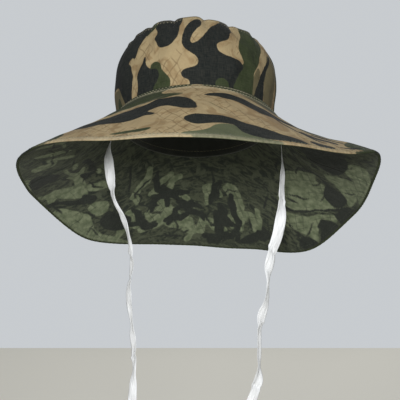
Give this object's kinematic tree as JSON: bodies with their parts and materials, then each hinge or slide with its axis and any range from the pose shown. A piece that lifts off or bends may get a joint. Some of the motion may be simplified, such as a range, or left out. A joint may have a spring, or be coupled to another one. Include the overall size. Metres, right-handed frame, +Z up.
{
  "type": "wide-brim camouflage sun hat",
  "caption": "Soft wide-brim camouflage sun hat, boonie style, with a banded crown, a stitched drooping brim and white satin chin ties.",
  "frame": {"origin": "centre of the head opening, at the seam between the crown and the brim", "axes": "+Z up as worn, -Y the way the wearer faces, +X to the wearer's left; the crown leans back 19 degrees"},
  "size_m": [0.374, 0.3861, 0.4842],
  "materials": {
    "camo_cloth": "woven cotton poplin, printed camouflage in tan, olive, dark green and near-black",
    "green_camo_cloth": "woven cotton poplin, printed camouflage in greens and charcoal",
    "edge_binding_cloth": "the same printed cotton, folded over the edge",
    "stiffener_cloth": "matte stiff non-woven interlining",
    "sweatband_cloth": "dark cotton twill tape",
    "thread": "matte polyester sewing thread",
    "satin_ribbon": "white satin with a fine weave and a soft sheen"
  },
  "bodies": {
    "hat": {"crown_top": "camo_cloth", "crown_band_front": "camo_cloth", "crown_band_back": "camo_cloth", "lining_top": "green_camo_cloth", "lining_band_front": "green_camo_cloth", "lining_band_back": "green_camo_cloth", "sweatband": "sweatband_cloth", "brim_top_front": "camo_cloth", "brim_top_back": "camo_cloth", "brim_stiffener": "stiffener_cloth", "brim_under_front": "green_camo_cloth", "brim_under_back": "green_camo_cloth", "brim_edge_binding": "edge_binding_cloth", "stitching_crown_top": "thread", "stitching_brim_seam": "thread", "stitching_brim_edge": "thread", "stitching_sweatband": "thread", "tie_tab_left": "satin_ribbon", "tie_tab_right": "satin_ribbon"},
    "left_tie_upper": {"tie_left_upper": "satin_ribbon"},
    "left_tie_lower": {"tie_left_lower": "satin_ribbon"},
    "right_tie_upper": {"tie_right_upper": "satin_ribbon"},
    "right_tie_lower": {"tie_right_lower": "satin_ribbon"}
  },
  "joints": [
    {"name": "left_tie_swing", "type": "hinge", "parent": "hat", "child": "left_tie_upper", "pos_m": [0.089, 0, -0.017], "axis": [0, 1, 0], "range_deg": [-35, 9]},
    {"name": "left_tie_fold", "type": "hinge", "parent": "left_tie_upper", "child": "left_tie_lower", "pos_m": [0.077, -0.003, -0.15], "axis": [1, 0, 0], "range_deg": [-50, 50]},
    {"name": "right_tie_swing", "type": "hinge", "parent": "hat", "child": "right_tie_upper", "pos_m": [-0.089, 0, -0.017], "axis": [0, -1, 0], "range_deg": [-28, 9]},
    {"name": "right_tie_fold", "type": "hinge", "parent": "right_tie_upper", "child": "right_tie_lower", "pos_m": [-0.067, -0.003, -0.15], "axis": [1, 0, 0], "range_deg": [-50, 50]}
  ]
}
